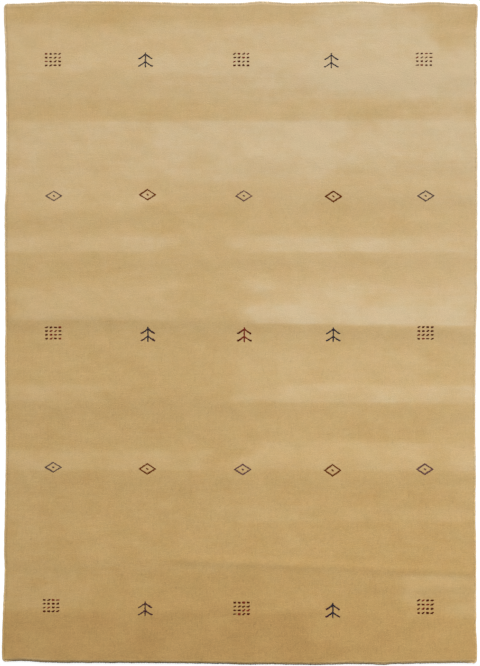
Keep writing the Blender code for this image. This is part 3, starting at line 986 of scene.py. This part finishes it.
# How far each row lies inside the rim, its spacing, and the level of its underside
RIM_ROWS = ((-0.0012, 0.0023, 0.0084), (0.0006, 0.0024, 0.0101))
FOOT_ROW_GAPS = 0.10
places, ways = [], []
for inset, step, level in RIM_ROWS:
    walk = rim_walk(inset, step, draw)
    walk = walk[(walk[:, 2] != math.pi) | (draw.random(len(walk)) > FOOT_ROW_GAPS)]
    lift = RIM_FOLD_SHARE * fold_lift(walk[:, 0], walk[:, 1])
    places.append(np.column_stack([*wander(walk[:, 0], walk[:, 1]), level + lift]))
    ways.append(walk[:, 2])
places, ways = np.concatenate(places), np.concatenate(ways)
count = len(ways)
at_foot = ways == math.pi
sizes = np.column_stack(
    [draw.uniform(0.0015, 0.0023, count), draw.uniform(0.0026, 0.0042, count), draw.uniform(0.0010, 0.0015, count)]
)
# The rim knots are painted a little lighter, painted light against the shade of the groove by the cord; at the foot
# their tone varies more
tones = 0.08 + draw.normal(0.0, 1.0, count) * np.where(at_foot, 0.10, 0.04)
rim_knots = copies(
    "rim_knots", rim_lump, places, ways + draw.normal(0, 0.30, count), sizes,
    draw.normal(0, 0.10, (count, 2)), tones, pile_wool,
)

# %% [markdown]
# ## The wrapped side cords
# Each long edge is a bundle of warps wrapped over and over with wool, called overcasting. The wraps
# lie side by side like a coil, 4 to 5 mm wide and a little slanted. A plain tube with a bump would
# look like plastic piping. Here a grid is rolled into a tube, and each wrap is a swelling that runs
# round it, with its own width and shade. The cord turns both corners.

# %% Write the rolling helper
CORD_SIDES = 16
INNER_TUCK = 0.0008
END_TUCK = 0.0020
# Painted shade on the foot binding's outer side: how far it fades in at the binding's ends, and how much weaker it is
# at the corners
PAINTED_SHADE_FADE = 0.03
PAINTED_SHADE_WEAKER_AT_ENDS = 0.25


def corner_path(centre_x, centre_y, start, turn, step):
    """Points and outward angles round a corner."""
    radius = CORNER_RADIUS - CORD_WIDTH / 2
    angles = start + turn * np.linspace(0, 1, max(4, round(radius * abs(turn) / step)))
    return np.column_stack([centre_x + radius * np.cos(angles), centre_y + radius * np.sin(angles), angles])


def slow_swing(run, reach, draw):
    """A slow sway along a cord, added up from a few waves."""
    sway = np.zeros_like(run)
    for _ in range(6):
        sway += np.sin(2 * math.pi * run / draw.uniform(0.025, 0.120) + draw.uniform(0, 2 * math.pi))
    return reach * sway / 6**0.5


def wrapped_cord(name, path, wrap, draw, material, painted_shade_side=0.0):
    """Roll a grid into a tube along a path and wrap it with yarn."""
    bpy.ops.mesh.primitive_grid_add(x_subdivisions=len(path) - 1, y_subdivisions=CORD_SIDES, size=2)
    cord = bpy.context.object
    cord.name = name
    points = read_points(cord.data)
    station = np.rint((points[:, 0] + 1) / 2 * (len(path) - 1)).astype(int)
    side = np.rint((points[:, 1] + 1) / 2 * CORD_SIDES).astype(int)
    round_angle = 2 * math.pi * (side % CORD_SIDES) / CORD_SIDES

    # Where each point lies in its wrap, and which wrap that is
    steps = np.hypot(*np.diff(path[:, :2], axis=0).T)
    run = np.concatenate([[0.0], np.cumsum(steps)])
    drift = np.cumsum(draw.normal(0, wrap["uneven"], len(path))) * 0.1
    turns = (run / wrap["pitch"] + drift)[station] + wrap["slant"] * np.cos(round_angle)
    number = np.floor(turns).astype(int)
    number -= number.min()
    each = draw.normal(0, 1.0, number.max() + 1)
    odd = draw.random(number.max() + 1) < wrap["odd_share"]
    rounding = np.abs(np.sin(math.pi * turns)) ** 0.6

    # A squared oval, wider and higher in the middle of each wrap
    grow = 1.0 + wrap["swell"] * (rounding - 0.75) + 0.035 * each[number] * rounding
    flat_cos = np.sign(np.cos(round_angle)) * np.abs(np.cos(round_angle)) ** 0.7
    flat_sin = np.sign(np.sin(round_angle)) * np.abs(np.sin(round_angle)) ** 0.7
    across = CORD_WIDTH / 2 * flat_cos * grow + slow_swing(run, 0.0004, draw)[station]
    across -= wrap["outward"] * INNER_TUCK * np.clip(-flat_cos * wrap["outward"], 0, 1)
    across -= wrap["outward"] * wrap["narrower"] * np.clip(flat_cos * wrap["outward"], 0, 1)
    x = path[station, 0] + across * np.cos(path[station, 2])
    y = path[station, 1] + across * np.sin(path[station, 2])
    z = np.maximum(CORD_HEIGHT / 2 * (1.0 + flat_sin * grow), 0.0001)
    real_x, real_y = wander(x, y)
    write_points(cord.data, np.column_stack([real_x, real_y, z]))

    # Each wrap's own random tone, some odd paler wraps, and painted shade in the gaps between wraps
    tones = wrap["tone"] * each[number] - wrap["gap_painted_shade"] * (1 - rounding) + 0.14 * odd[number]
    # Painted shade on the outer side of the foot binding, turned away from the main light; it fades out at both ends
    # and is weaker towards the corners
    outer_painted_shade = painted_shade_side * (1.0 + 0.06 * each[number]) * soft_step((flat_cos * wrap["outward"] + 0.34) / 0.60)
    outer_painted_shade = outer_painted_shade * (1.0 - PAINTED_SHADE_WEAKER_AT_ENDS * (real_x / RIGHT) ** 2)
    outer_painted_shade = outer_painted_shade * soft_step(np.minimum(run, run[-1] - run) / PAINTED_SHADE_FADE - 0.5)[station]
    # A lift of painted light over the whole cord, and the painted shade of the outer side
    tones = wrap["painted_light_lift"] + tones * (1 - outer_painted_shade) - outer_painted_shade
    write_shade(cord.data, paleness_at(real_x, real_y), tones)
    wind = cord.data.attributes.new("wind", "FLOAT", "POINT")
    wind.data.foreach_set("value", turns.astype(np.float32))
    bpy.ops.object.mode_set(mode="EDIT")
    bpy.ops.mesh.select_all(action="SELECT")
    bpy.ops.mesh.remove_doubles(threshold=0.00001)
    bpy.ops.mesh.select_all(action="DESELECT")
    bpy.ops.mesh.select_non_manifold(extend=False)
    bpy.ops.mesh.fill_holes(sides=CORD_SIDES + 2)
    bpy.ops.mesh.select_all(action="SELECT")
    bpy.ops.mesh.normals_make_consistent(inside=False)
    bpy.ops.object.mode_set(mode="OBJECT")
    bpy.ops.object.shade_smooth()
    cord.data.materials.append(material)
    bpy.ops.object.select_all(action="DESELECT")
    print(f"{name}: {run[-1]:.3f} m long, {len(cord.data.polygons)} faces")
    return cord


# %% Wrap the side cords
# In each wrap table, the gaps between wraps get painted shade, and the whole cord gets a lift of painted light against
# the shade of the round cord and its groove
SIDE_WRAP = {
    "pitch": 0.0046, "slant": 0.25, "swell": 0.14, "uneven": 0.05, "tone": 0.04, "gap_painted_shade": 0.06,
    "odd_share": 0.10, "outward": 1, "painted_light_lift": 0.08, "narrower": 0.0,
}
cord_wool = sand_wool("cord_wool", shift=0.20, bump_depth=0.0006, wound=True)


def side_path(side, step):
    """Round the head corner, down the side and round the foot corner; side is -1 left, 1 right."""
    line = LEFT if side < 0 else RIGHT
    corner_x = line - side * CORNER_RADIUS
    outward = math.pi if side < 0 else 0.0
    quarter = math.pi / 2
    along = np.arange(HEAD - CORNER_RADIUS - step, FOOT + CORNER_RADIUS + step / 2, -step)
    middle = np.full(len(along), line - side * CORD_WIDTH / 2)
    straight = np.column_stack([middle, along, np.full(len(along), outward)])
    head = corner_path(corner_x, HEAD - CORNER_RADIUS, quarter, outward - quarter, step)
    foot = corner_path(corner_x, FOOT + CORNER_RADIUS, outward, -side * quarter, step)
    return np.concatenate([head, straight, foot])


cords = [
    wrapped_cord(f"wrapped_cord_{word}", side_path(side, SIDE_WRAP["pitch"] / 4), SIDE_WRAP, draw, cord_wool)
    for word, side in (("left", -1), ("right", 1))
]

# %% [markdown]
# ## The bound ends
# The two ends are bound with a thicker, looser overcast whose stitches slant. From above it reads
# as a pale line of small lumps with dark gaps where it meets the pile. The foot binding's outer
# side, turned away from the main light, is darkened with painted shade.

# %% Bind the ends
# As on the side cords, painted shade in the gaps between wraps and a lift of painted light over the whole binding
HEAD_WRAP = {
    "pitch": 0.0080, "slant": 0.45, "swell": 0.20, "uneven": 0.30, "tone": 0.05, "gap_painted_shade": 0.08,
    "odd_share": 0.10, "outward": 1, "painted_light_lift": 0.06, "narrower": 0.0,
}
FOOT_WRAP = {
    "pitch": 0.0088, "slant": 0.45, "swell": 0.26, "uneven": 0.40, "tone": 0.07, "gap_painted_shade": 0.18,
    "odd_share": 0.25, "outward": -1, "painted_light_lift": 0.12, "narrower": 0.0012,
}
# Painted shade on the foot binding's outer side, turned away from the main light
FOOT_PAINTED_SHADE = 0.97
head_wool = sand_wool("head_binding_wool", shift=0.18, bump_depth=0.0006, wound=True)
foot_wool = sand_wool("foot_binding_wool", shift=0.20, bump_depth=0.0006, wound=True)


def end_path(line, inward, step):
    """Straight across the rug, between the two side cords."""
    along = np.arange(LEFT + CORNER_RADIUS - END_TUCK, RIGHT - CORNER_RADIUS + END_TUCK, step)
    middle = np.full(len(along), line + inward * CORD_WIDTH / 2)
    return np.column_stack([along, middle, np.full(len(along), math.pi / 2)])


bindings = [
    wrapped_cord(
        f"end_binding_{word}", end_path(line, inward, wrap["pitch"] / 6), wrap, draw, wool, painted_shade_side
    )
    for word, line, inward, wrap, wool, painted_shade_side in (
        ("at_head", HEAD, -1, HEAD_WRAP, head_wool, 0.0),
        ("at_foot", FOOT, 1, FOOT_WRAP, foot_wool, FOOT_PAINTED_SHADE),
    )
]

# %% [markdown]
# ## Say what stands for what
# The scene's pieces take the place of the imported solids and ride on the one body.

trimmings = [*motif_pieces, proud_knots, rim_knots, *cords, *bindings]
for piece in (field, *trimmings):
    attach(piece, "root")
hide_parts("knotted_field")
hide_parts("side_cord_left")
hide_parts("side_cord_right")
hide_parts("end_binding_head")
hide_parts("end_binding_foot")

# %% Print the packed box
print("packed box", [round(v, 4) for v in (*cad_low, *cad_high)])
